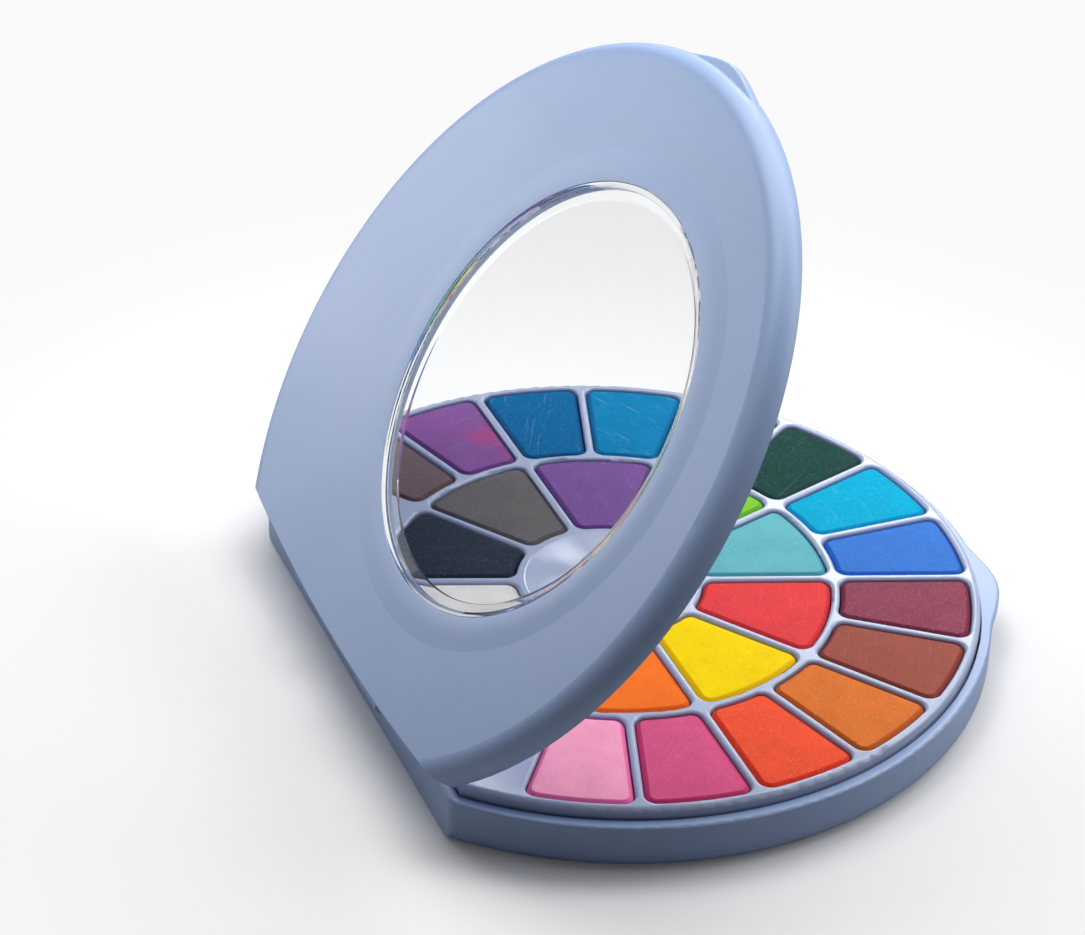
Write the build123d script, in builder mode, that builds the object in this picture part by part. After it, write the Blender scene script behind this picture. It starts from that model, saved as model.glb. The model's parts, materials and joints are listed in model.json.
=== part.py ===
from build123d import *
import os
from math import asin, cos, degrees, radians, sin, sqrt

# Round paint box: a shallow base cut straight at its hinge side, a tray of paint pans
# set in two rings around a mixing well, and a hinged lid with a clear window.
# Millimetres, +Z up. The origin is the middle of the disc on the base's underside.
# The hinge side faces +Y and the thumb tabs face -Y. The lid is modelled standing open.

# Pan tray, from the mixing well outwards
well_radius = 17.6
well_depth = 3.6
divider = 1.7
inner_pan_length = 27.1
outer_pan_length = 27.5
inner_count = 10
outer_count = 14
tray_land = 1.8
tray_edge_round = 1.0
divider_round = 0.7
hinge_land = 7.85
corner_web = 9.55
tray_rise = 2.6
tray_wall = 1.4

# Cells of the tray and the cakes of paint in them
cell_depth = 5.4
cell_floor = 1.2
cell_corner = 2.6
cake_gap = 0.25
cake_below_top = 0.3
cake_bevel = 1.1

# Base shell
rim_height = 11.0
rim_width = 2.2
tray_gap = 0.4
base_floor = 1.6
foot_round = 4.2
back_foot_round = 1.2
rim_round = 0.5
side_corner = 3.6

# Lid and its clear window
rest_opening = 54.0
lid_inset = 0.4
parting_gap = 0.3
lid_wall = 1.6
lid_edge_round = 4.4
lid_back_bow = 2.9
lid_back_bevel = 0.5
window_radius = 46.0
window_left = 10.5
window_front = 7.7
window_fit = 0.1
window_clearance = 0.5
window_floor = 0.9
window_recess = 1.5
window_bevel = 2.6
window_rim = 0.6
window_flange = 2.4
lip_width = 7.0
lip_crest = 2.0
lip_rise = 0.25
lip_edge_rise = 0.1

# Hinge: two groups of three knuckles, each group on its own steel pin
hinge_out = 2.55
hinge_up = 1.4
knuckle_radius = 1.6
knuckle_length = 5.8
knuckle_gap = 0.3
knuckle_relief = 0.35
knuckle_bite = 0.6
knuckle_group_x = 16.0
pin_radius = 0.75
pin_running_gap = 0.05
pin_end_recess = 0.4

# Thumb tabs on the front edge, placed by the turn from the front towards +X
base_tab_turn = -17.5
base_tab_half = 15.0
base_tab_reach = 2.6
lid_tab_turn = 4.0
lid_tab_half = 14.0
lid_tab_reach = 1.9
tab_height = 2.2
tab_round = 0.6

# Radii and heights of the base and tray
inner_pan_in = well_radius + divider
inner_pan_out = inner_pan_in + inner_pan_length
outer_pan_in = inner_pan_out + divider
outer_pan_out = outer_pan_in + outer_pan_length
tray_radius = outer_pan_out + tray_land
tray_side = inner_pan_out + hinge_land
cavity_radius = tray_radius + tray_gap
cavity_side = tray_side + tray_gap
disc_radius = cavity_radius + rim_width
disc_side = cavity_side + rim_width
cavity_corner = side_corner - rim_width
tray_corner = cavity_corner - tray_gap
tray_top = rim_height + tray_rise
cell_bottom = tray_top - cell_depth
tray_ceiling = cell_bottom - cell_floor
inner_turn = 360 / inner_count
outer_reach = 90 + degrees(asin((tray_side - corner_web) / outer_pan_out))
outer_turn = 2 * outer_reach / outer_count

# Radii and heights of the closed lid
lid_radius = disc_radius - lid_inset
lid_side = disc_side - lid_inset
lid_back = lid_side + lid_back_bow
lid_corner = side_corner - lid_inset
lid_low = rim_height + parting_gap
window_under = tray_top + window_clearance
window_face = window_under + window_floor
lid_top = window_face + window_recess
lid_ceiling = lid_top - lid_wall
window_edge = window_radius - window_fit

# Hinge line and the places of its knuckles along it
hinge_y = disc_side + hinge_out
hinge_z = rim_height + hinge_up
knuckle_pitch = knuckle_length + knuckle_gap
group_length = knuckle_length + 2 * knuckle_pitch
lid_knuckle_xs = [-knuckle_group_x, knuckle_group_x]
base_knuckle_xs = [x + step for x in lid_knuckle_xs for step in (-knuckle_pitch, knuckle_pitch)]

# Workplane with the closed box's own axes, swung open with the lid about the hinge
hinge_frame = Plane((0, hinge_y, hinge_z)).rotated((-rest_opening, 0, 0))
lid_frame = Plane(
    origin=hinge_frame.from_local_coords(Vector(0, -hinge_y, -hinge_z)),
    x_dir=hinge_frame.x_dir,
    z_dir=hinge_frame.z_dir,
)
lid_axis = Axis(lid_frame.origin, lid_frame.z_dir)
lid_side_section = Plane(lid_frame.origin, x_dir=lid_frame.y_dir, z_dir=lid_frame.x_dir)

# Upright section through the window's middle, whose first direction is the radius
window_middle = lid_frame.from_local_coords(Vector(-window_left, -window_front, 0))
window_section = Plane(window_middle, x_dir=lid_frame.x_dir, z_dir=-lid_frame.y_dir)
window_axis = Axis(window_middle, lid_frame.z_dir)


def cut_disc(radius, side, corner):
    """Sketch of a disc with one straight side towards +Y and rounded corners."""
    with BuildSketch() as outline:
        Circle(radius)
        with Locations((0, side + radius)):
            Rectangle(4 * radius, 2 * radius, mode=Mode.SUBTRACT)
        fillet(outline.vertices(), corner)
    return outline.sketch


def bowed_disc(radius, side, corner):
    """Sketch of a disc whose hinge side is a shallow arc bowed towards +Y."""
    half = sqrt(radius**2 - side**2)
    with BuildSketch() as outline:
        with BuildLine():
            ThreePointArc((-half, side), (0, -radius), (half, side))
            ThreePointArc((half, side), (0, side + lid_back_bow), (-half, side))
        make_face()
        fillet(outline.vertices(), corner)
    return outline.sketch


def wedge(turn, setback, length):
    """Sketch of a triangle pointing along +X, its tip set away from the middle."""
    half_width = length * sin(radians(turn / 2))
    far = setback + length * cos(radians(turn / 2))
    with BuildSketch() as outline:
        with BuildLine():
            Polyline((setback, 0), (far, -half_width), (far, half_width), close=True)
        make_face()
    return outline.sketch


def pan_outline(near, far, turn, gap):
    """Sketch of one pan along +X between two dividers, drawn in by a gap all round."""
    setback = (divider / 2 + gap) / sin(radians(turn / 2))
    sides = wedge(turn, setback, 2 * far)
    with BuildSketch() as outline:
        Circle(far - gap)
        Circle(near + gap, mode=Mode.SUBTRACT)
        add(sides, mode=Mode.INTERSECT)
        fillet(outline.vertices(), cell_corner - gap)
    return outline.sketch


def front_point(radius, turn):
    """Point on a circle about the middle, turned from the front towards +X."""
    return (radius * sin(radians(turn)), -radius * cos(radians(turn)))


def tab_plate(frame, radius, turn, half, reach, root):
    """Thumb tab that swells out of a round edge, with its root inside the wall."""
    start = front_point(radius - root / 2, turn - half)
    end = front_point(radius - root / 2, turn + half)
    along_start = (cos(radians(turn - half)), sin(radians(turn - half)))
    along_end = (cos(radians(turn + half)), sin(radians(turn + half)))
    inner_start = front_point(radius - root, turn - half)
    inner_end = front_point(radius - root, turn + half)
    with BuildPart() as plate:
        with BuildSketch(frame):
            with BuildLine():
                Spline(
                    start,
                    front_point(radius + reach, turn),
                    end,
                    tangents=(along_start, along_end),
                )
                Line(end, inner_end)
                ThreePointArc(inner_end, front_point(radius - root, turn), inner_start)
                Line(inner_start, start)
            make_face()
        extrude(amount=tab_height)
        fillet(plate.edges().filter_by(GeomType.BSPLINE), tab_round)
    return plate.part


def domed_blank(radius, side, corner, high, edge_round):
    """Bowed disc in the lid's frame whose round edge curves over to its top face."""
    outline = bowed_disc(radius, side, corner)
    with BuildPart() as blank:
        with BuildSketch(lid_frame.offset(lid_low)):
            Circle(radius)
        extrude(amount=high - lid_low)
        fillet(blank.edges().sort_by(lid_axis)[-1], edge_round)
        with BuildSketch(lid_frame.offset(lid_low)):
            add(outline)
        extrude(amount=high - lid_low, mode=Mode.INTERSECT)
    return blank.part


def base_knuckle_outline():
    """Side view of a base knuckle on its neck, in Y and Z."""
    slope = knuckle_radius * sqrt(0.5)
    root_y = disc_side - knuckle_bite
    under = (hinge_y + slope, hinge_z - slope)
    foot = (root_y, hinge_z - slope - (under[0] - root_y))
    with BuildSketch() as outline:
        with Locations((hinge_y, hinge_z)):
            Circle(knuckle_radius)
        with BuildLine():
            Polyline(
                (hinge_y, hinge_z),
                (hinge_y, rim_height),
                (root_y, rim_height),
                foot,
                under,
                close=True,
            )
        make_face()
    return outline.sketch


def lid_knuckle_outline():
    """Side view of a lid knuckle on its neck, in the closed lid's Y and Z."""
    root_y = lid_back - lid_wall
    with BuildSketch() as outline:
        with Locations((hinge_y, hinge_z)):
            Circle(knuckle_radius)
        with Locations((root_y, hinge_z)):
            Rectangle(hinge_y - root_y, knuckle_radius, align=(Align.MIN, Align.MIN))
    return outline.sketch


def hinge_circle(radius):
    """Side view of a round thing on the hinge line, in Y and Z."""
    with BuildSketch() as outline:
        with Locations((hinge_y, hinge_z)):
            Circle(radius)
    return outline.sketch


def across(section, outline, middle_x, length, mode):
    """Extrudes a side view along X on both sides of a place on the hinge line."""
    with BuildSketch(section.offset(middle_x - length / 2)) as profile:
        add(outline)
    extrude(profile.sketch, amount=length, mode=mode)


cavity = cut_disc(cavity_radius, cavity_side, cavity_corner)
inner_cell = pan_outline(inner_pan_in, inner_pan_out, inner_turn, 0)
outer_cell = pan_outline(outer_pan_in, outer_pan_out, outer_turn, 0)
inner_cake = pan_outline(inner_pan_in, inner_pan_out, inner_turn, cake_gap)
outer_cake = pan_outline(outer_pan_in, outer_pan_out, outer_turn, cake_gap)
clearing_length = knuckle_length + 2 * knuckle_gap

# Base shell: shallow pan with a thumb tab and the outer knuckles of both hinge groups
base_outline = cut_disc(disc_radius, disc_side, side_corner)
base_tab = tab_plate(
    Plane.XY.offset(rim_height - tab_height),
    disc_radius,
    base_tab_turn,
    base_tab_half,
    base_tab_reach,
    rim_width / 2,
)
base_knuckle = base_knuckle_outline()
with BuildSketch() as base_profile:
    with Locations((disc_side, 0)):
        Rectangle(4 * disc_radius, rim_height, align=(Align.MAX, Align.MIN))
    back_corners = base_profile.vertices().group_by(Axis.X)[-1]
    fillet(back_corners.sort_by(Axis.Y)[0], back_foot_round)
with BuildPart() as base_shell:
    with BuildSketch():
        Circle(disc_radius)
    extrude(amount=rim_height)
    fillet(base_shell.edges().group_by(Axis.Z)[0], foot_round)
    with BuildSketch():
        add(base_outline)
    extrude(amount=rim_height, mode=Mode.INTERSECT)
    across(Plane.YZ, base_profile.sketch, 0, 4 * disc_radius, Mode.INTERSECT)
    fillet(base_shell.edges().group_by(Axis.Z)[-1], rim_round)
    add(base_tab)
    with BuildSketch(Plane.XY.offset(base_floor)):
        add(cavity)
    extrude(amount=rim_height - base_floor, mode=Mode.SUBTRACT)
    for place in base_knuckle_xs:
        across(Plane.YZ, base_knuckle, place, knuckle_length, Mode.ADD)
    for place in base_knuckle_xs:
        across(Plane.YZ, hinge_circle(pin_radius), place, knuckle_length, Mode.SUBTRACT)
base_shell.part.label = "base_shell"

# Pan tray: raised plate on a skirt, with the cells and the mixing well sunk into it
tray_outline = cut_disc(tray_radius, tray_side, tray_corner)
tray_inside = cut_disc(tray_radius - tray_wall, tray_side - tray_wall, tray_corner)
outer_fan = wedge(360 - 2 * outer_reach - outer_turn / 2, 0, 2 * tray_radius)
well_curve = (well_radius**2 + well_depth**2) / (2 * well_depth)
well_centre_z = tray_top - well_depth + well_curve
well_under_radius = well_radius - tray_wall
well_under_curve = well_curve + cell_floor
well_under_edge_z = well_centre_z - sqrt(well_under_curve**2 - well_under_radius**2)
with BuildPart() as pan_tray:
    with BuildSketch(Plane.XY.offset(base_floor)):
        add(tray_outline)
    extrude(amount=tray_top - base_floor)
    with BuildSketch(Plane.XY.offset(cell_bottom)):
        with PolarLocations(0, inner_count, start_angle=-90):
            add(inner_cell)
        with PolarLocations(
            0,
            outer_count,
            start_angle=-90 - outer_reach + outer_turn / 2,
            angular_range=2 * outer_reach,
        ):
            add(outer_cell)
    extrude(amount=cell_depth, mode=Mode.SUBTRACT)
    with BuildSketch(Plane.XZ):
        with BuildLine():
            Line((0, tray_top), (well_radius, tray_top))
            RadiusArc((well_radius, tray_top), (0, tray_top - well_depth), well_curve)
            Line((0, tray_top - well_depth), (0, tray_top))
        make_face()
    revolve(axis=Axis.Z, mode=Mode.SUBTRACT)
    rims = pan_tray.faces().filter_by(Plane.XY).sort_by(Axis.Z)[-1]
    fillet(rims.inner_wires().edges(), divider_round)
    tray_edge = pan_tray.faces().filter_by(Plane.XY).sort_by(Axis.Z)[-1]
    fillet(tray_edge.outer_wire().edges(), tray_edge_round)
    with BuildSketch(Plane.XY.offset(base_floor)):
        add(tray_inside)
    extrude(amount=tray_ceiling - base_floor, mode=Mode.SUBTRACT)
    with BuildSketch(Plane.XZ):
        with BuildLine():
            Line((0, tray_ceiling), (well_under_radius, tray_ceiling))
            Line((well_under_radius, tray_ceiling), (well_under_radius, well_under_edge_z))
            RadiusArc(
                (well_under_radius, well_under_edge_z),
                (0, well_centre_z - well_under_curve),
                well_under_curve,
            )
            Line((0, well_centre_z - well_under_curve), (0, tray_ceiling))
        make_face()
    revolve(axis=Axis.Z, mode=Mode.SUBTRACT)
    with BuildSketch(Plane.XY.offset(tray_ceiling)):
        add(outer_fan, rotation=90)
        Circle(inner_pan_out + tray_wall, mode=Mode.SUBTRACT)
        add(tray_inside, mode=Mode.INTERSECT)
    extrude(amount=cell_depth, mode=Mode.SUBTRACT)
pan_tray.part.label = "pan_tray"

# Cakes of paint, listed from the hinge side round the front to the hinge side again
inner_colours = [
    "white",
    "graphite",
    "orange",
    "yellow",
    "red",
    "turquoise",
    "light_green",
    "purple",
    "warm_grey",
    "blue_black",
]
outer_colours = [
    "pink",
    "magenta",
    "vermilion",
    "ochre",
    "red_brown",
    "maroon",
    "blue",
    "cyan",
    "dark_green",
    "viridian",
    "cerulean",
    "deep_blue",
    "violet",
    "dark_brown",
]
cakes = []
for ring, outline, turn, first in (
    (inner_colours, inner_cake, inner_turn, 90),
    (outer_colours, outer_cake, outer_turn, -90 - outer_reach + outer_turn / 2),
):
    for place, colour in enumerate(ring):
        with BuildPart() as cake:
            with BuildSketch(Plane.XY.offset(cell_bottom)):
                add(outline, rotation=first + place * turn)
            extrude(amount=cell_depth - cake_below_top)
            chamfer(cake.edges().group_by(Axis.Z)[-1], cake_bevel)
        cake.part.label = "cake_" + colour
        cakes.append(cake.part)

# Lid shell: thin dish turned upside down over the tray, with a round hole for the window
lid_blank = domed_blank(lid_radius, lid_side, lid_corner, lid_top, lid_edge_round)
lid_hollow = domed_blank(
    lid_radius - lid_wall,
    lid_side - lid_wall,
    lid_corner - lid_wall,
    lid_ceiling,
    lid_edge_round - lid_wall,
)
lid_tab = tab_plate(
    lid_frame.offset(lid_low),
    lid_radius,
    lid_tab_turn,
    lid_tab_half,
    lid_tab_reach,
    lid_wall / 2,
)
lid_knuckle = lid_knuckle_outline()
lip_end = window_radius + lip_width
back_half = sqrt(lid_radius**2 - lid_side**2)
back_curve = (back_half**2 + lid_back_bow**2) / (2 * lid_back_bow)
back_middle = lid_frame.from_local_coords(Vector(0, lid_back - back_curve, 0))
slot_high = hinge_z + knuckle_radius + knuckle_relief
with BuildSketch() as knuckle_slot:
    with Locations((hinge_y + knuckle_radius, slot_high)):
        Rectangle(3 * lid_wall + knuckle_radius, slot_high - rim_height, align=(Align.MAX, Align.MAX))
with BuildPart() as lid_shell:
    add(lid_blank)
    with BuildSketch(Plane(back_middle, x_dir=lid_frame.y_dir, z_dir=lid_frame.x_dir)):
        with BuildLine():
            Polyline(
                (back_curve - 2 * lid_back_bevel, lid_top + lid_back_bevel),
                (back_curve + lid_back_bevel, lid_top - 2 * lid_back_bevel),
                (back_curve + lid_back_bevel, lid_top + lid_back_bevel),
                close=True,
            )
        make_face()
    revolve(axis=Axis(back_middle, lid_frame.z_dir), mode=Mode.SUBTRACT)
    add(lid_tab)
    add(lid_hollow, mode=Mode.SUBTRACT)
    with BuildSketch(window_section):
        with BuildLine():
            Spline(
                (window_radius, lid_top + lip_edge_rise),
                (window_radius + lip_crest, lid_top + lip_rise),
                (lip_end, lid_top),
                tangents=[(lip_crest, lip_rise), (1, 0)],
            )
            Polyline(
                (lip_end, lid_top),
                (lip_end, lid_top - lid_wall / 2),
                (window_radius, lid_top - lid_wall / 2),
                (window_radius, lid_top + lip_edge_rise),
            )
        make_face()
    revolve(axis=window_axis)
    with BuildSketch(lid_frame.offset(lid_low)):
        with Locations((-window_left, -window_front)):
            Circle(window_radius)
    extrude(amount=2 * (lid_top - lid_low), mode=Mode.SUBTRACT)
    for place in base_knuckle_xs:
        across(lid_side_section, knuckle_slot.sketch, place, clearing_length, Mode.SUBTRACT)
    for place in lid_knuckle_xs:
        across(lid_side_section, lid_knuckle, place, knuckle_length, Mode.ADD)
    for place in lid_knuckle_xs:
        bore = hinge_circle(pin_radius + pin_running_gap)
        across(lid_side_section, bore, place, knuckle_length, Mode.SUBTRACT)
lid_shell.part.label = "lid_shell"

# Window: clear dish with a bevelled rim, held by a flange under the lid's face
rim_top = lid_top
bevel_foot = window_edge - window_rim - window_bevel
flange_edge = window_radius + window_flange
with BuildPart() as lid_window:
    with BuildSketch(window_section):
        with BuildLine():
            Polyline(
                (0, window_under),
                (bevel_foot, window_under),
                (window_edge - window_floor, rim_top - window_floor),
                (window_edge - window_floor, window_under),
                (flange_edge, window_under),
                (flange_edge, lid_ceiling),
                (window_edge, lid_ceiling),
                (window_edge, rim_top),
                (window_edge - window_rim, rim_top),
                (bevel_foot, window_face),
                (0, window_face),
                close=True,
            )
        make_face()
    revolve(axis=window_axis)
lid_window.part.label = "lid_window"

# Hinge pins: plain steel wire, tight in the base's knuckles
pins = []
for side_name, place in (("left", -knuckle_group_x), ("right", knuckle_group_x)):
    with BuildPart() as pin:
        across(
            Plane.YZ,
            hinge_circle(pin_radius),
            place,
            group_length - 2 * pin_end_recess,
            Mode.ADD,
        )
    pin.part.label = "hinge_pin_" + side_name
    pins.append(pin.part)

os.makedirs("parts", exist_ok=True)
for piece in [base_shell.part, pan_tray.part, lid_shell.part, lid_window.part] + cakes + pins:
    export_step(piece, "parts/" + piece.label + ".step")
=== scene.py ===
import json
import math
import bpy
import numpy as np
from mathutils import Matrix, Vector

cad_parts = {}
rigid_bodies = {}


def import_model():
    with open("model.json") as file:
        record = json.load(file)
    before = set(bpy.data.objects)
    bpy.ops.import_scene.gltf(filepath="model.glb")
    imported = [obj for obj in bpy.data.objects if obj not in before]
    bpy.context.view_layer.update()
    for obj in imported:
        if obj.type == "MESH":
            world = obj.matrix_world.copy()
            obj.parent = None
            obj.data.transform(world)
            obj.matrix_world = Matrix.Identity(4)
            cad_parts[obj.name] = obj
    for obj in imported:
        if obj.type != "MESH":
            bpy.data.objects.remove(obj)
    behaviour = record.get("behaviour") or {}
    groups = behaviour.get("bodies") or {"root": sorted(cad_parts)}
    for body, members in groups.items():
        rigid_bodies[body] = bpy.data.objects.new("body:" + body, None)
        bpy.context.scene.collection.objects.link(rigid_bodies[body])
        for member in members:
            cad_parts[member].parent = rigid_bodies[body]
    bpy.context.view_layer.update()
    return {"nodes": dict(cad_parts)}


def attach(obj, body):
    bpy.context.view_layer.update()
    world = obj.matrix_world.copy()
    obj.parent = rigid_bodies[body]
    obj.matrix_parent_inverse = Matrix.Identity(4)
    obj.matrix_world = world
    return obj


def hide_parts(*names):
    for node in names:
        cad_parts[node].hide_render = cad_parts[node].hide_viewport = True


# start from an empty file, then bring in the fixed frame
for leftover in list(bpy.data.objects):
    bpy.data.objects.remove(leftover)
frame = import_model()
scene = bpy.context.scene
mm = 0.001
print("frame loaded:", len(frame["nodes"]), "nodes")


def linear(red, green, blue):
    # screen colour 0-255 to the linear colour that nodes use
    values = np.array([red, green, blue]) / 255.0
    low = values / 12.92
    high = ((values + 0.055) / 1.055) ** 2.4
    return tuple(np.where(values <= 0.04045, low, high)) + (1.0,)


# camera, at the photograph's place
cameraView = {
    "azimuth": 246.89,  # degrees round the object, 0 looks along +Y
    "elevation": 32.80,
    "roll": 2.42,
    "distance": 758.7 * mm,
    "right": -15.12 * mm,  # slide along the view's own right and up
    "up": 34.01 * mm,
    "focalPixels": 3592.5,  # focal length in pixels of a picture 1085 wide
    "pictureWidth": 1085,
    "nearest": 0.01,  # metres between which things are seen
    "farthest": 20.0,
}


def makeCamera(view):
    # back points from the object to the camera, and roll turns right and up about it
    az = math.radians(view["azimuth"])
    el = math.radians(view["elevation"])
    roll = math.radians(view["roll"])
    back = Vector((math.sin(az) * math.cos(el), -math.cos(az) * math.cos(el), math.sin(el)))
    right = Vector((math.cos(az), math.sin(az), 0.0))
    up = back.cross(right)
    place = back * view["distance"] + right * view["right"] + up * view["up"]
    turnedRight = right * math.cos(roll) + up * math.sin(roll)
    turnedUp = up * math.cos(roll) - right * math.sin(roll)
    turn = Matrix((turnedRight, turnedUp, back)).transposed()
    data = bpy.data.cameras.new("Camera")
    data.sensor_fit = "HORIZONTAL"
    data.lens = view["focalPixels"] * data.sensor_width / view["pictureWidth"]
    data.clip_start = view["nearest"]
    data.clip_end = view["farthest"]
    camera = bpy.data.objects.new("Camera", data)
    scene.collection.objects.link(camera)
    camera.matrix_world = Matrix.Translation(place) @ turn.to_4x4()
    scene.camera = camera


makeCamera(cameraView)
print("camera placed")


# helpers for the node trees of materials, groups and the world
def addNode(tree, kind, x, y, **settings):
    # settings are the node's own properties, such as operation or data_type
    node = tree.nodes.new(kind)
    node.location = (x, y)
    for name, value in settings.items():
        setattr(node, name, value)
    return node


def feed(tree, socket, value):
    # value is a number, a colour or another node's socket
    if isinstance(value, bpy.types.NodeSocket):
        tree.links.new(value, socket)
    else:
        socket.default_value = value


def newMaterial(name):
    material = bpy.data.materials.new(name)
    material.use_nodes = True
    tree = material.node_tree
    tree.nodes.clear()
    output = addNode(tree, "ShaderNodeOutputMaterial", 500, 0)
    shader = addNode(tree, "ShaderNodeBsdfPrincipled", 100, 0)
    tree.links.new(shader.outputs["BSDF"], output.inputs["Surface"])
    return material, tree, shader, output


def mixColours(tree, x, y, factor, first, second):
    # first where the factor is 0 and second where it is 1
    node = addNode(tree, "ShaderNodeMix", x, y, data_type="RGBA")
    colourInputs = (0, 6, 7)  # the Mix node's sockets for the factor and two colours
    colourOutput = 2
    for index, value in zip(colourInputs, (factor, first, second)):
        feed(tree, node.inputs[index], value)
    return node.outputs[colourOutput]


def mixShaders(tree, x, y, factor, first, second):
    # first where the factor is 0 and second where it is 1
    node = addNode(tree, "ShaderNodeMixShader", x, y)
    for socket, source in zip(node.inputs, (factor, first, second)):
        tree.links.new(source, socket)
    return node.outputs["Shader"]


def mapRange(tree, x, y, value, fromRange, toRange=(0.0, 1.0)):
    node = addNode(tree, "ShaderNodeMapRange", x, y)
    tree.links.new(value, node.inputs["Value"])
    node.inputs["From Min"].default_value = fromRange[0]
    node.inputs["From Max"].default_value = fromRange[1]
    node.inputs["To Min"].default_value = toRange[0]
    node.inputs["To Max"].default_value = toRange[1]
    return node.outputs["Result"]


def mathIn(tree, x, y, operation, first, second):
    node = addNode(tree, "ShaderNodeMath", x, y, operation=operation)
    for socket, value in zip(node.inputs, (first, second)):
        feed(tree, socket, value)
    return node.outputs["Value"]


def noiseIn(tree, x, y, vector, scale, detail, rough=0.55):
    node = addNode(tree, "ShaderNodeTexNoise", x, y)
    tree.links.new(vector, node.inputs["Vector"])
    feed(tree, node.inputs["Scale"], scale)
    node.inputs["Detail"].default_value = detail
    node.inputs["Roughness"].default_value = rough
    return node.outputs["Fac"]


def cellsIn(tree, x, y, vector, scale):
    # cells of random shape: the distance from a cell's middle, and a number 0-1 that each cell draws
    node = addNode(tree, "ShaderNodeTexVoronoi", x, y, feature="F1")
    tree.links.new(vector, node.inputs["Vector"])
    feed(tree, node.inputs["Scale"], scale)
    drawn = addNode(tree, "ShaderNodeSeparateColor", x + 200, y - 100)
    tree.links.new(node.outputs["Color"], drawn.inputs["Color"])
    return node.outputs["Distance"], drawn.outputs["Red"]


def stretched(tree, x, y, vector, turn, scale):
    node = addNode(tree, "ShaderNodeMapping", x, y)
    node.inputs["Rotation"].default_value = turn
    node.inputs["Scale"].default_value = scale
    tree.links.new(vector, node.inputs["Vector"])
    return node.outputs["Vector"]


def objectCoordinates(tree, x, y):
    return addNode(tree, "ShaderNodeTexCoord", x, y).outputs["Object"]


def addBump(tree, shader, height, look):
    node = addNode(tree, "ShaderNodeBump", -120, -260)
    node.inputs["Strength"].default_value = look["bump"]
    node.inputs["Distance"].default_value = look["bumpDistance"]
    tree.links.new(height, node.inputs["Height"])
    tree.links.new(node.outputs["Normal"], shader.inputs["Normal"])


# groups that several finishes share; each material gives a group its own numbers
def newGroup(name, numbers, outputs):
    group = bpy.data.node_groups.new(name, "ShaderNodeTree")
    group.interface.new_socket("Vector", in_out="INPUT", socket_type="NodeSocketVector")
    for label in numbers:
        group.interface.new_socket(label, in_out="INPUT", socket_type="NodeSocketFloat")
    for label in outputs:
        group.interface.new_socket(label, in_out="OUTPUT", socket_type="NodeSocketFloat")
    given = addNode(group, "NodeGroupInput", -900, 0)
    result = addNode(group, "NodeGroupOutput", 700, 0)
    return group, given, result


def placeGroup(tree, group, x, y, vector, values):
    node = addNode(tree, "ShaderNodeGroup", x, y, node_tree=group)
    tree.links.new(vector, node.inputs["Vector"])
    for label, value in values.items():
        node.inputs[label].default_value = value
    return node


skinPattern = {
    "cloudDetail": 3.0,
    "grainDetail": 2.0,
    "speckRange": (0.07, 0.02),  # distance from a cell's middle at a speck's edge and where it is full
    "speckless": 0.93,  # share of the cells that hold no speck
    "cloudHeight": 0.7,
    "grainHeight": 0.3,
}


def makeMouldedSkin(look):
    # moulded plastic: slow waves of the mould, faint cloudy tone, sparse specks and a very fine grain
    numbers = ["Cloud Scale", "Grain Scale", "Speck Scale"]
    group, given, result = newGroup("mouldedSkin", numbers, ["Tone", "Speck", "Height"])
    vector = given.outputs["Vector"]
    cloud = noiseIn(group, -600, 200, vector, given.outputs["Cloud Scale"], look["cloudDetail"])
    grain = noiseIn(group, -600, 0, vector, given.outputs["Grain Scale"], look["grainDetail"])
    distance, drawn = cellsIn(group, -600, -250, vector, given.outputs["Speck Scale"])
    dots = mapRange(group, -150, -250, distance, look["speckRange"])
    rare = mathIn(group, -150, -500, "GREATER_THAN", drawn, look["speckless"])
    speck = mathIn(group, 50, -250, "MULTIPLY", dots, rare)
    low = mathIn(group, 50, 50, "MULTIPLY", cloud, look["cloudHeight"])
    fine = mathIn(group, 50, -80, "MULTIPLY", grain, look["grainHeight"])
    group.links.new(cloud, result.inputs["Tone"])
    group.links.new(speck, result.inputs["Speck"])
    group.links.new(mathIn(group, 300, 0, "ADD", low, fine), result.inputs["Height"])
    return group


pigmentPattern = {
    "grainDetail": 3.0,
    "grainRough": 0.7,
    "cloudDetail": 4.0,
    "rubTurn": (0.0, 0.0, 0.6),  # radians
    "rubStretch": (1.0, 14.0, 1.0),
    "rubDetail": 2.0,
    "rubRange": (0.62, 0.78),
    "sparkScale": 3600.0,
    "sparkRange": (0.9, 1.0),  # only cells that draw a high number glint
    "cloudHeight": 0.8,
    "grainHeight": 0.25,
}


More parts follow.
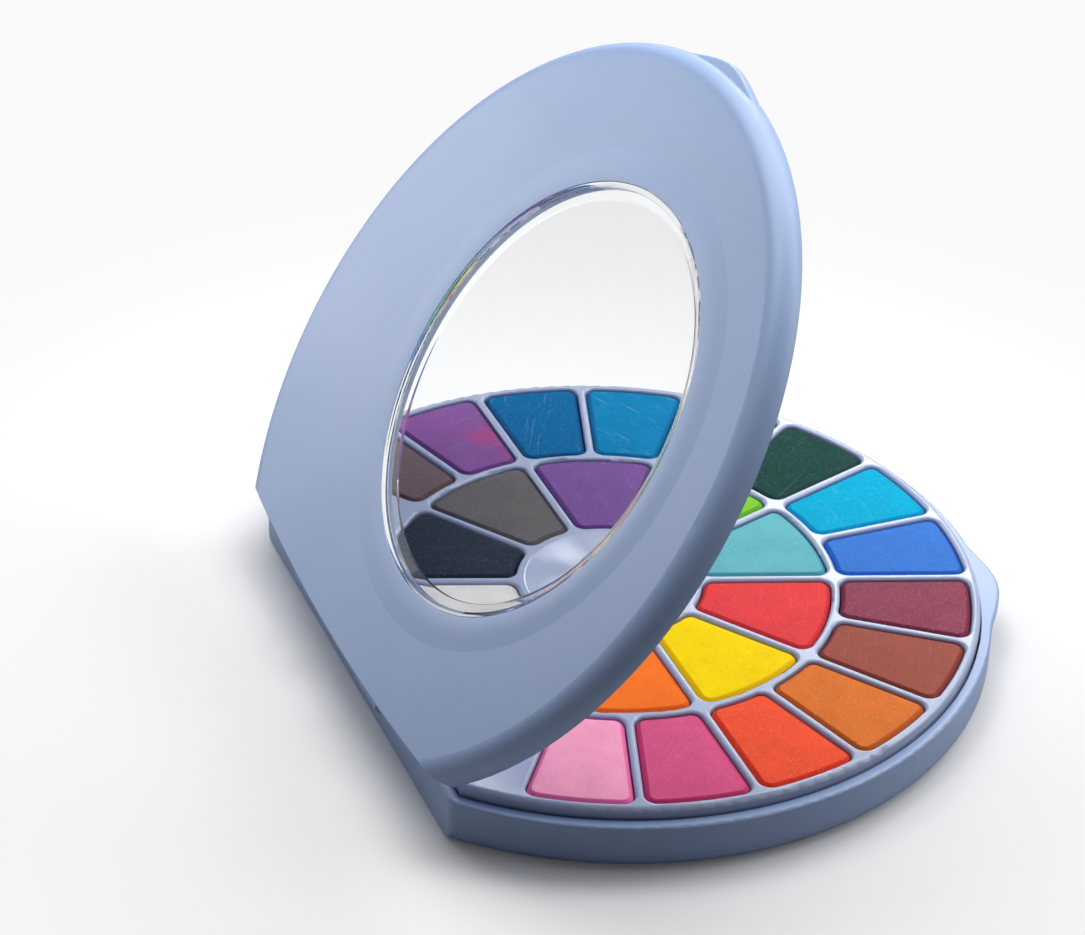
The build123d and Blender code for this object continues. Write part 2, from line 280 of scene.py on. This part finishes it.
def makePressedPigment(look):
    # pressed paint: powdery grain, cloudy patches, sparkling specks and straight rub marks
    numbers = ["Grain Scale", "Cloud Scale", "Rub Scale", "Sparkle"]
    group, given, result = newGroup("pressedPigment", numbers, ["Grain", "Cloud", "Spark", "Rub", "Height"])
    vector = given.outputs["Vector"]
    grain = noiseIn(
        group, -600, 300, vector, given.outputs["Grain Scale"], look["grainDetail"], look["grainRough"]
    )
    cloud = noiseIn(group, -600, 100, vector, given.outputs["Cloud Scale"], look["cloudDetail"])
    _, drawn = cellsIn(group, -600, -120, vector, look["sparkScale"])
    bright = mapRange(group, -200, -120, drawn, look["sparkRange"])
    spark = mathIn(group, 0, -120, "MULTIPLY", bright, given.outputs["Sparkle"])
    along = stretched(group, -800, -450, vector, look["rubTurn"], look["rubStretch"])
    streaks = noiseIn(group, -600, -450, along, given.outputs["Rub Scale"], look["rubDetail"])
    rub = mapRange(group, -300, -450, streaks, look["rubRange"])
    uneven = mathIn(group, 100, 150, "MULTIPLY", cloud, look["cloudHeight"])
    powder = mathIn(group, 100, 0, "MULTIPLY", grain, look["grainHeight"])
    group.links.new(grain, result.inputs["Grain"])
    group.links.new(cloud, result.inputs["Cloud"])
    group.links.new(spark, result.inputs["Spark"])
    group.links.new(rub, result.inputs["Rub"])
    group.links.new(mathIn(group, 300, 100, "ADD", uneven, powder), result.inputs["Height"])
    return group


mouldedSkin = makeMouldedSkin(skinPattern)
pressedPigment = makePressedPigment(pigmentPattern)

# plastic of the shells and the tray
bodyPlastic = {
    "colour": linear(142, 164, 203),
    "shade": linear(135, 158, 198),  # cloudier, slightly deeper tone
    "speck": linear(110, 128, 162),
    "speckStrength": 0.35,
    "toneRange": (0.3, 0.7),
    "roughness": (0.38, 0.44),
    "cloudScale": 18.0,
    "grainScale": 2600.0,
    "speckScale": 260.0,
    "bump": 0.10,
    "bumpDistance": 0.05 * mm,
}
basePlastic = dict(bodyPlastic, roughness=(0.27, 0.33), bump=0.05)
trayPlastic = dict(
    bodyPlastic,
    colour=linear(157, 169, 199),
    shade=linear(150, 162, 193),
    roughness=(0.15, 0.20),
    bump=0.04,
)


def plasticMaterial(name, look):
    material, tree, shader, _ = newMaterial(name)
    numbers = {
        "Cloud Scale": look["cloudScale"],
        "Grain Scale": look["grainScale"],
        "Speck Scale": look["speckScale"],
    }
    skin = placeGroup(tree, mouldedSkin, -700, 0, objectCoordinates(tree, -900, 0), numbers)
    toned = mixColours(tree, -400, 150, skin.outputs["Tone"], look["colour"], look["shade"])
    faint = mathIn(tree, -400, -60, "MULTIPLY", skin.outputs["Speck"], look["speckStrength"])
    speckled = mixColours(tree, -150, 120, faint, toned, look["speck"])
    tree.links.new(speckled, shader.inputs["Base Color"])
    rough = mapRange(tree, -400, -200, skin.outputs["Tone"], look["toneRange"], look["roughness"])
    tree.links.new(rough, shader.inputs["Roughness"])
    addBump(tree, shader, skin.outputs["Height"], look)
    return material


shellMaterial = plasticMaterial("periwinkleShell", bodyPlastic)
baseMaterial = plasticMaterial("periwinkleBase", basePlastic)
trayMaterial = plasticMaterial("periwinkleTray", trayPlastic)

# steel wire of the hinge pins
pinSteel = {
    "colour": linear(178, 180, 184),
    "dull": 0.8,  # how much of the colour the darker lines keep
    "roughness": (0.25, 0.4),
    "lineSqueeze": (1.0, 0.05, 0.05),
    "lineScale": 5000.0,
    "lineDetail": 3.0,
    "lineRange": (0.3, 0.7),
    "bump": 0.15,
    "bumpDistance": 0.02 * mm,
}


def steelMaterial(name, look):
    # drawn wire: fine lines round it, which on a wire along X change only along X
    material, tree, shader, _ = newMaterial(name)
    noTurn = (0.0, 0.0, 0.0)
    along = stretched(tree, -700, 0, objectCoordinates(tree, -900, 0), noTurn, look["lineSqueeze"])
    lines = noiseIn(tree, -500, 0, along, look["lineScale"], look["lineDetail"])
    rough = mapRange(tree, -300, -100, lines, look["lineRange"], look["roughness"])
    tree.links.new(rough, shader.inputs["Roughness"])
    dull = tuple(value * look["dull"] for value in look["colour"][:3]) + (1.0,)
    tree.links.new(mixColours(tree, -300, 150, lines, look["colour"], dull), shader.inputs["Base Color"])
    shader.inputs["Metallic"].default_value = 1.0
    addBump(tree, shader, lines, look)
    return material


pinMaterial = steelMaterial("drawnSteel", pinSteel)

# clear plastic of the window
clearPlastic = {
    "colour": (0.97, 0.98, 0.985, 1.0),
    "passing": (0.93, 0.94, 0.95, 1.0),  # what it lets through to light the things behind it
    "ior": 1.49,
    "roughness": (0.0, 0.035),  # clean, and where it is rubbed
    "rubTurn": (0.0, 0.3, 0.9),
    "rubStretch": (1.0, 22.0, 22.0),
    "rubScale": 34.0,
    "rubDetail": 3.0,
    "rubRange": (0.64, 0.78),
}


def clearMaterial(name, look):
    # clear plastic: faint rubbed haze, and light passes straight through on its way to what lies behind
    material, tree, shader, output = newMaterial(name)
    shader.inputs["Base Color"].default_value = look["colour"]
    shader.inputs["Transmission Weight"].default_value = 1.0
    shader.inputs["IOR"].default_value = look["ior"]
    coordinates = objectCoordinates(tree, -1000, -100)
    along = stretched(tree, -800, -100, coordinates, look["rubTurn"], look["rubStretch"])
    streaks = noiseIn(tree, -600, -100, along, look["rubScale"], look["rubDetail"])
    rough = mapRange(tree, -350, -100, streaks, look["rubRange"], look["roughness"])
    tree.links.new(rough, shader.inputs["Roughness"])
    passing = addNode(tree, "ShaderNodeBsdfTransparent", 100, -500)
    passing.inputs["Color"].default_value = look["passing"]
    path = addNode(tree, "ShaderNodeLightPath", 100, 500)
    mixed = mixShaders(
        tree, 300, 100, path.outputs["Is Shadow Ray"], shader.outputs["BSDF"], passing.outputs["BSDF"]
    )
    tree.links.new(mixed, output.inputs["Surface"])
    return material


windowMaterial = clearMaterial("clearWindow", clearPlastic)
print("shared finishes made")


# cakes of paint: the shape is the same for every cake, lengths in mm
cakeShape = {
    "bottom": 8.2,
    "top": 13.45,
    "bevel": 0.9,
    "bevelSteps": 5,
    "slope": 0.85,  # shares of the bevel that are a straight slope and a quarter circle
    "round": 0.15,
    "crease": 0.12,
    "topSteps": 12,
    "crown": 0.16,
    "uneven": 0.07,
    "waves": (0.31, 0.37),  # radians per mm along X and Y
    "nextPhase": 1.7,  # radians from one cake's waves to the next one's
    "waveRise": 3,  # waves reach their height a third of the way in
    "gap": 0.25,
    "divider": 1.7,
    "corner": 2.6,
    "arcPoints": 14,
    "cornerPoints": 7,
    "sidePoints": 8,
}
outerReach = 126.25  # degrees from the front to the end of the outer ring
outerCount = 14
cakeRings = {
    "inner": {"near": 19.3, "far": 46.4, "turn": 36.0, "first": 90.0, "phase": 0.6},
    "outer": {
        "near": 48.1,
        "far": 75.6,
        "turn": 2 * outerReach / outerCount,
        "first": -90.0 - outerReach * (outerCount - 1) / outerCount,
        "phase": 0.0,
    },
}


def arc(middle, radius, turns):
    # points at one radius round the middle, each by the cosine and sine of its turn
    return middle + radius * np.stack([np.cos(turns), np.sin(turns)], 1)


def fanOutline(near, far, halfTurn, margin, corner, shape):
    # closed outline of one pan along +X: an outer arc, a round corner, a straight side that keeps
    # the margin from the ray between two pans, a round corner and an inner arc, then its mirror
    reach = corner + margin
    outTurn = halfTurn - math.asin(reach / (far - corner))
    inTurn = halfTurn - math.asin(reach / (near + corner))
    outMiddle = (far - corner) * np.array([math.cos(outTurn), math.sin(outTurn)])
    inMiddle = (near + corner) * np.array([math.cos(inTurn), math.sin(inTurn)])
    sideTurn = halfTurn + math.pi / 2
    outArc = np.linspace(0.0, outTurn, shape["arcPoints"], endpoint=False)
    outCorner = arc(outMiddle, corner, np.linspace(outTurn, sideTurn, shape["cornerPoints"]))
    inCorner = arc(inMiddle, corner, np.linspace(sideTurn, inTurn + math.pi, shape["cornerPoints"]))
    inArc = np.linspace(inTurn, 0.0, shape["arcPoints"])[1:]
    share = np.linspace(0.0, 1.0, shape["sidePoints"])[1:-1, None]
    side = outCorner[-1] * (1 - share) + inCorner[0] * share
    upper = np.concatenate([arc(0.0, far, outArc), outCorner, side, inCorner, arc(0.0, near, inArc)])
    lower = upper[1:-1][::-1] * np.array([1.0, -1.0])
    return np.concatenate([upper, lower])


def ringMesh(name, rings):
    # rings is (levels, points, 3): neighbouring rings are joined by quads, and the first and the last
    # ring are closed by a fan round their middle point
    levels, points, _ = rings.shape
    here = np.arange(points)
    after = (here + 1) % points
    faces = []
    for level in range(levels - 1):
        low = level * points
        high = low + points
        faces.append(np.stack([low + here, low + after, high + after, high + here], 1))
    faces = np.concatenate(faces).tolist()
    last = (levels - 1) * points
    firstMiddle = levels * points
    lastMiddle = firstMiddle + 1
    faces += np.stack([after, here, np.full(points, firstMiddle)], 1).tolist()
    faces += np.stack([last + here, last + after, np.full(points, lastMiddle)], 1).tolist()
    middles = np.array([rings[0].mean(0), rings[-1].mean(0)])
    vertices = np.concatenate([rings.reshape(-1, 3), middles])
    mesh = bpy.data.meshes.new(name)
    mesh.from_pydata(vertices.tolist(), [], faces)
    mesh.validate()
    mesh.update()
    mesh.shade_smooth()
    piece = bpy.data.objects.new(name, mesh)
    scene.collection.objects.link(piece)
    return piece


def setFloatAttribute(mesh, name, values):
    attribute = mesh.attributes.new(name, "FLOAT", "POINT")
    attribute.data.foreach_set("value", np.asarray(values, dtype=np.float32))


def wallLevels(shape):
    # insets and heights of the rings up a cake's side: the wall, a bevel that is mostly a straight slope
    # with softened ends, and a narrow crease that marks its upper end
    bevel = shape["bevel"]
    swing = np.linspace(0.0, math.pi / 2, shape["bevelSteps"])
    slope = shape["slope"] * swing / (math.pi / 2)
    insets = bevel * (slope + shape["round"] * (1 - np.cos(swing)))
    rises = bevel * (slope + shape["round"] * np.sin(swing))
    levels = [(0.0, shape["bottom"])]
    levels += [(inset, shape["top"] - bevel + rise) for inset, rise in zip(insets, rises)]
    levels.append((bevel + shape["crease"], shape["top"]))
    return levels


def makeCake(name, ring, place, shape):
    # rings of the pan's outline carried up the wall, over a sloped bevel and in towards the middle;
    # the top rises as 1 - (1 - share)^2 and waves gently with the product of two sines
    margin = shape["divider"] / 2 + shape["gap"]
    halfTurn = math.radians(ring["turn"] / 2)
    near = ring["near"] + shape["gap"]
    far = ring["far"] - shape["gap"]
    corner = shape["corner"] - shape["gap"]
    levels = wallLevels(shape)
    outlines = []
    heights = []
    for inset, height in levels:
        outline = fanOutline(near + inset, far - inset, halfTurn, margin + inset, corner - inset, shape)
        outlines.append(outline)
        heights.append(np.full(len(outline), height))
    topOutline = outlines[-1]
    middle = topOutline.mean(0)
    phase = shape["nextPhase"] * place + ring["phase"]
    alongX, alongY = shape["waves"]
    for share in np.linspace(0.0, 1.0, shape["topSteps"], endpoint=False)[1:]:
        outline = topOutline * (1 - share) + middle * share
        wave = np.sin(alongX * outline[:, 0] + phase) * np.sin(alongY * outline[:, 1] + 2 * phase)
        crown = shape["crown"] * (1 - (1 - share) ** 2)
        uneven = shape["uneven"] * wave * min(1.0, shape["waveRise"] * share)
        outlines.append(outline)
        heights.append(shape["top"] + crown + uneven)
    turn = math.radians(ring["first"] + place * ring["turn"])
    spin = np.array([[math.cos(turn), math.sin(turn)], [-math.sin(turn), math.cos(turn)]])
    flat = np.stack(outlines) @ spin
    rings = np.concatenate([flat, np.stack(heights)[:, :, None]], 2) * mm
    piece = ringMesh(name, rings)
    # the attribute rim is 1 on the wall and bevel and 0 on the top, and so on the two middle points
    rim = np.zeros((len(rings), rings.shape[1]))
    rim[: len(levels) - 1] = 1.0
    setFloatAttribute(piece.data, "rim", np.concatenate([rim.reshape(-1), [1.0, 0.0]]))
    return piece


# finish that all cakes share, unless a cake's own entry says otherwise
cakeFinish = {
    "grainScale": 2400.0,
    "cloudScale": 140.0,
    "rubScale": 90.0,
    "cloudRange": (0.35, 0.65),
    "grainRange": (0.45, 0.75),
    "grainStrength": 0.55,
    "paleGain": 1.06,  # the powdery grain's colour is the top's times this and a little more
    "paleLift": 10,
    "deepGain": 0.95,  # and the cloudy patches' is the top's times this
    "stainScale": 48.0,
    "stainDetail": 2.0,
    "stainRange": (0.48, 0.62),
    "stainStrength": 0.7,
    "chalk": linear(196, 208, 218),  # what a rub leaves
    "rub": 0.05,
    "glint": (1.0, 0.96, 0.92, 1.0),
    "sparkle": 0.04,
    "roughness": 0.62,
    "bevelRoughness": 0.42,
    "shine": 0.05,
    "bump": 0.35,
    "bumpDistance": 0.12 * mm,
    "nextShift": (0.05, 0.031, 0.0),  # metres and radians from one cake's pattern to the next one's
    "nextTurn": (0.0, 0.0, 0.9),
}
# each cake's name, and the seen colours of its top, of its bevel (deepened there as painted shade) and of any
# stain, in screen values
cakeLooks = {
    "inner": [
        ("white", {"top": (228, 225, 222), "edge": (199, 194, 190)}),
        ("graphite", {"top": (78, 78, 84), "edge": (62, 62, 68)}),
        ("orange", {"top": (252, 117, 36), "edge": (235, 96, 26)}),
        ("yellow", {"top": (250, 212, 0), "edge": (237, 188, 0)}),
        ("red", {"top": (222, 66, 68), "edge": (206, 50, 56)}),
        ("turquoise", {"top": (98, 173, 183), "edge": (71, 150, 163)}),
        ("light_green", {"top": (122, 190, 50), "edge": (92, 172, 33)}),
        ("purple", {"top": (116, 80, 144), "edge": (96, 61, 128), "rub": 0.2}),
        ("warm_grey", {"top": (101, 96, 99), "edge": (85, 80, 84)}),
        ("blue_black", {"top": (37, 46, 62), "edge": (29, 37, 52)}),
    ],
    "outer": [
        ("pink", {"top": (255, 163, 197), "edge": (237, 111, 166), "sparkle": 0.07}),
        ("magenta", {"top": (219, 88, 135), "edge": (200, 58, 112)}),
        ("vermilion", {"top": (246, 85, 52), "edge": (228, 61, 34), "sparkle": 0.07}),
        ("ochre", {"top": (218, 115, 50), "edge": (189, 91, 35), "sparkle": 0.07}),
        ("red_brown", {"top": (152, 81, 69), "edge": (135, 62, 52)}),
        ("maroon", {"top": (135, 66, 84), "edge": (118, 46, 67), "sparkle": 0.07}),
        ("blue", {"top": (56, 113, 196), "edge": (37, 97, 193)}),
        ("cyan", {"top": (0, 158, 196), "edge": (0, 146, 195)}),
        ("dark_green", {"top": (18, 58, 53), "edge": (27, 61, 58), "rub": 0.08}),
        ("viridian", {"top": (46, 160, 122), "edge": (30, 138, 106)}),
        ("cerulean", {"top": (0, 119, 167), "edge": (0, 107, 159), "rub": 0.35}),
        ("deep_blue", {"top": (0, 93, 146), "edge": (0, 81, 133), "rub": 0.2}),
        ("violet", {"top": (125, 80, 144), "edge": (100, 59, 123), "rub": 0.15, "stain": (170, 62, 112)}),
        ("dark_brown", {"top": (106, 88, 95), "edge": (91, 71, 75)}),
    ],
}


def cakeMaterial(name, look, place):
    # pressed pigment: the bevel is smoother, and its deeper colour is painted shade
    material, tree, shader, _ = newMaterial(name)
    centre = addNode(tree, "ShaderNodeMapping", -1200, 0)
    centre.inputs["Location"].default_value = [value * place for value in look["nextShift"]]
    centre.inputs["Rotation"].default_value = [value * place for value in look["nextTurn"]]
    tree.links.new(objectCoordinates(tree, -1400, 0), centre.inputs["Vector"])
    vector = centre.outputs["Vector"]
    numbers = {
        "Grain Scale": look["grainScale"],
        "Cloud Scale": look["cloudScale"],
        "Rub Scale": look["rubScale"],
        "Sparkle": look["sparkle"],
    }
    press = placeGroup(tree, pressedPigment, -1000, 0, vector, numbers)
    pale = linear(*(min(255, value * look["paleGain"] + look["paleLift"]) for value in look["top"]))
    deep = linear(*(value * look["deepGain"] for value in look["top"]))
    cloud = mapRange(tree, -900, 350, press.outputs["Cloud"], look["cloudRange"])
    colour = mixColours(tree, -750, 250, cloud, deep, linear(*look["top"]))
    grain = mapRange(tree, -750, 50, press.outputs["Grain"], look["grainRange"], (0.0, look["grainStrength"]))
    colour = mixColours(tree, -550, 250, grain, colour, pale)
    if "stain" in look:
        blot = noiseIn(tree, -900, 600, vector, look["stainScale"], look["stainDetail"])
        stain = mapRange(tree, -700, 600, blot, look["stainRange"], (0.0, look["stainStrength"]))
        colour = mixColours(tree, -450, 500, stain, colour, linear(*look["stain"]))
    rub = mathIn(tree, -550, 0, "MULTIPLY", press.outputs["Rub"], look["rub"])
    colour = mixColours(tree, -350, 250, rub, colour, look["chalk"])
    rim = addNode(tree, "ShaderNodeAttribute", -900, -300, attribute_name="rim").outputs["Fac"]
    # painted shade: the wall and bevel take the deeper edge colour, darker than the top
    colour = mixColours(tree, -150, 250, rim, colour, linear(*look["edge"]))
    colour = mixColours(tree, -50, 420, press.outputs["Spark"], colour, look["glint"])
    tree.links.new(colour, shader.inputs["Base Color"])
    rough = mapRange(tree, -350, -80, rim, (0.0, 1.0), (look["roughness"], look["bevelRoughness"]))
    tree.links.new(rough, shader.inputs["Roughness"])
    shader.inputs["Specular IOR Level"].default_value = look["shine"]
    addBump(tree, shader, press.outputs["Height"], look)
    return material


for ringName, colours in cakeLooks.items():
    for place, (colour, look) in enumerate(colours):
        cake = makeCake("pressed_" + colour, cakeRings[ringName], place, cakeShape)
        cake.data.materials.append(cakeMaterial("paint_" + colour, {**cakeFinish, **look}, place))
        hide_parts("cake_" + colour)
        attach(cake, "base")
print("cakes of paint made")


# clear window of the lid, drawn with the lid closed and then tilted with it; mm and degrees
hinge = {"y": 59.4, "z": 12.4, "opening": 54.0}
windowShape = {
    "left": 10.5,
    "front": 7.7,
    "hub": 1.0,  # radius inside which the faces are closed by a fan
    "under": 14.1,
    "face": 15.0,
    "rimTop": 16.5,
    "ceiling": 14.9,
    "edge": 45.9,
    "rim": 0.6,
    "bevel": 2.6,
    "wall": 0.9,
    "flange": 48.4,
    "soft": 0.16,
    "segments": 256,
    "cornerSteps": 4,
}


def softened(corners, soft, steps, mostOfSide=0.45):
    # each inner corner of an open profile becomes a short quadratic curve between its two cut points, whose
    # weights are (1 - share)^2 and share^2, with the corner itself weighing 2 * share * (1 - share)
    path = [corners[0]]
    for before, corner, after in zip(corners[:-2], corners[1:-1], corners[2:]):
        lengthBefore = np.linalg.norm(before - corner)
        lengthAfter = np.linalg.norm(after - corner)
        cut = min(soft, mostOfSide * lengthBefore, mostOfSide * lengthAfter)
        start = corner + (before - corner) / lengthBefore * cut
        end = corner + (after - corner) / lengthAfter * cut
        share = np.linspace(0.0, 1.0, steps)[:, None]
        path.extend((1 - share) ** 2 * start + 2 * share * (1 - share) * corner + share**2 * end)
    path.append(corners[-1])
    return np.array(path)


def onLid(points):
    # closed-lid coordinates turned up about the hinge line by the opening
    turn = math.radians(-hinge["opening"])
    y = points[..., 1] - hinge["y"]
    z = points[..., 2] - hinge["z"]
    turnedY = y * math.cos(turn) - z * math.sin(turn) + hinge["y"]
    turnedZ = y * math.sin(turn) + z * math.cos(turn) + hinge["z"]
    return np.stack([points[..., 0], turnedY, turnedZ], -1)


def makeWindow(name, shape):
    # a profile of radius and height carried round the window's middle, then tilted with the lid
    foot = shape["edge"] - shape["rim"] - shape["bevel"]
    inner = shape["edge"] - shape["wall"]
    corners = np.array(
        [
            (shape["hub"], shape["under"]),
            (foot, shape["under"]),
            (inner, shape["rimTop"] - shape["wall"]),
            (inner, shape["under"]),
            (shape["flange"], shape["under"]),
            (shape["flange"], shape["ceiling"]),
            (shape["edge"], shape["ceiling"]),
            (shape["edge"], shape["rimTop"]),
            (shape["edge"] - shape["rim"], shape["rimTop"]),
            (foot, shape["face"]),
            (shape["hub"], shape["face"]),
        ]
    )
    profile = softened(corners, shape["soft"], shape["cornerSteps"])
    turns = np.linspace(0.0, 2 * math.pi, shape["segments"], endpoint=False)
    x = profile[:, :1] * np.cos(turns) - shape["left"]
    y = profile[:, :1] * np.sin(turns) - shape["front"]
    z = np.repeat(profile[:, 1:], shape["segments"], axis=1)
    return ringMesh(name, onLid(np.stack([x, y, z], -1)) * mm)


window = makeWindow("clear_dish", windowShape)
window.data.materials.append(windowMaterial)
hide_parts("lid_window")
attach(window, "lid")
print("window made")


# shells, tray and pins keep their CAD shapes and take their finishes
for nodeName, finish in (
    ("base_shell", baseMaterial),
    ("lid_shell", shellMaterial),
    ("pan_tray", trayMaterial),
    ("hinge_pin_left", pinMaterial),
    ("hinge_pin_right", pinMaterial),
):
    for materialSlot in frame["nodes"][nodeName].material_slots:
        materialSlot.material = finish
print("finishes given to the shells")


# pale floor and the surround
studio = {
    "floorHalf": 4.0,
    "floorColour": (0.50, 0.50, 0.51, 1.0),  # as it lights the object
    "floorSeen": (0.88, 0.88, 0.882, 1.0),  # as the camera and the window see it
    "floorRoughness": 0.9,
    "fade": (0.06, 0.20),  # distance from the box, in metres, over which the floor turns into the surround
    "surround": (0.955, 0.955, 0.955, 1.0),
    "seen": 1.0,  # strength of the surround for the camera, gloss and glass
    "fill": 0.04,  # and for matt surfaces
}


def makePlane(name, corners):
    mesh = bpy.data.meshes.new(name)
    mesh.from_pydata(corners, [], [(0, 1, 2, 3)])
    plane = bpy.data.objects.new(name, mesh)
    scene.collection.objects.link(plane)
    return plane


def makeFloor(look):
    half = look["floorHalf"]
    floor = makePlane("floor", [(-half, -half, 0), (half, -half, 0), (half, half, 0), (-half, half, 0)])
    material, tree, shader, output = newMaterial("paleFloor")
    path = addNode(tree, "ShaderNodeLightPath", -600, 0).outputs
    seen = mathIn(tree, -350, 0, "MAXIMUM", path["Is Camera Ray"], path["Is Transmission Ray"])
    colour = mixColours(tree, -150, 0, seen, look["floorColour"], look["floorSeen"])
    tree.links.new(colour, shader.inputs["Base Color"])
    shader.inputs["Roughness"].default_value = look["floorRoughness"]
    shader.inputs["Specular IOR Level"].default_value = 0.0
    distance = addNode(tree, "ShaderNodeVectorMath", -600, 300, operation="LENGTH")
    tree.links.new(objectCoordinates(tree, -800, 300), distance.inputs[0])
    away = mapRange(tree, -400, 300, distance.outputs["Value"], look["fade"])
    away.node.interpolation_type = "SMOOTHSTEP"
    surround = addNode(tree, "ShaderNodeEmission", 100, 300)
    surround.inputs["Color"].default_value = look["surround"]
    faded = mathIn(tree, -150, 300, "MULTIPLY", away, seen)
    mixed = mixShaders(tree, 300, 200, faded, shader.outputs["BSDF"], surround.outputs["Emission"])
    tree.links.new(mixed, output.inputs["Surface"])
    floor.data.materials.append(material)
    return floor


def makeWorld(look):
    world = bpy.data.worlds.new("studio")
    world.use_nodes = True
    scene.world = world
    tree = world.node_tree
    tree.nodes.clear()
    output = addNode(tree, "ShaderNodeOutputWorld", 500, 0)
    backgrounds = []
    for height, strength in ((100, look["fill"]), (-100, look["seen"])):
        background = addNode(tree, "ShaderNodeBackground", 0, height)
        background.inputs["Color"].default_value = look["surround"]
        background.inputs["Strength"].default_value = strength
        backgrounds.append(background.outputs["Background"])
    path = addNode(tree, "ShaderNodeLightPath", -500, 0).outputs
    glossy = mathIn(tree, -300, 0, "MAXIMUM", path["Is Camera Ray"], path["Is Glossy Ray"])
    seen = mathIn(tree, -100, 200, "MAXIMUM", glossy, path["Is Transmission Ray"])
    mixed = mixShaders(tree, 250, 0, seen, *backgrounds)
    tree.links.new(mixed, output.inputs["Surface"])


# dark card beyond the lights, which only gloss and glass see: the lid and its window mirror it to the camera
darkCard = {
    "bearing": 38.0,  # degrees from +X
    "away": 2.2,
    "width": 3.4,
    "height": 1.6,
    "colour": (0.02, 0.02, 0.022, 1.0),
    "roughness": 1.0,
    "hiddenFrom": ("camera", "diffuse", "volume_scatter", "shadow"),
}


def makeDarkCard(look):
    # upright rectangle across the bearing, standing on the floor's height
    bearing = math.radians(look["bearing"])
    middle = look["away"] * np.array([math.cos(bearing), math.sin(bearing)])
    along = look["width"] / 2 * np.array([-math.sin(bearing), math.cos(bearing)])
    left = middle + along
    right = middle - along
    corners = [(*left, 0.0), (*right, 0.0), (*right, look["height"]), (*left, look["height"])]
    card = makePlane("darkCard", corners)
    material, _, shader, _ = newMaterial("darkCard")
    shader.inputs["Base Color"].default_value = look["colour"]
    shader.inputs["Roughness"].default_value = look["roughness"]
    card.data.materials.append(material)
    for ray in look["hiddenFrom"]:
        setattr(card, "visible_" + ray, False)


# soft panels, each aimed at the middle of the box: place in metres, side length, power and the piece
# that its light leaves out; the broad ones give the window no glare, and the glints spare the floor
panels = {
    "highFront": {"place": (0.10, -0.50, 0.60), "size": 0.50, "power": 3.1, "spares": "window"},
    "lowFront": {"place": (-0.20, -0.60, 0.35), "size": 0.40, "power": 1.4, "spares": "window"},
    "nearTop": {"place": (0.12, 0.02, 0.42), "size": 0.30, "power": 1.34, "spares": "window"},
    "lowBack": {"place": (0.60, 0.42, 0.15), "size": 0.40, "power": 0.71, "spares": "window"},
    "farBack": {"place": (0.90, 0.50, 0.35), "size": 0.40, "power": 0.31, "spares": "window"},
    "nearBack": {"place": (0.30, 0.20, 0.12), "size": 0.20, "power": 0.28, "spares": "window"},
    "overHinge": {"place": (0.0, 0.30, 0.50), "size": 0.30, "power": 0.15, "spares": "window"},
    "trayGlint": {"place": (0.49, -0.34, 0.36), "size": 0.15, "power": 0.60, "spares": "floor"},
    "wellGlint": {"place": (0.23, -0.26, 0.51), "size": 0.12, "power": 0.27, "spares": "floor"},
}


def makeReceivers(name, piece):
    # collection that tells a light which piece it leaves out
    collection = bpy.data.collections.new(name)
    collection.objects.link(piece)
    collection.collection_objects[0].light_linking.link_state = "EXCLUDE"
    return collection


def addPanel(name, look, receivers):
    data = bpy.data.lights.new(name, "AREA")
    data.shape = "SQUARE"
    data.size = look["size"]
    data.energy = look["power"]
    light = bpy.data.objects.new(name, data)
    scene.collection.objects.link(light)
    light.location = look["place"]
    light.rotation_euler = Vector(look["place"]).to_track_quat("Z", "Y").to_euler()
    light.visible_camera = False
    light.light_linking.receiver_collection = receivers[look["spares"]]


floor = makeFloor(studio)
makeWorld(studio)
makeDarkCard(darkCard)
receivers = {"floor": makeReceivers("notFloor", floor), "window": makeReceivers("notWindow", window)}
for name, look in panels.items():
    addPanel(name, look, receivers)
scene.view_settings.view_transform = "Standard"
print("floor and lights set")
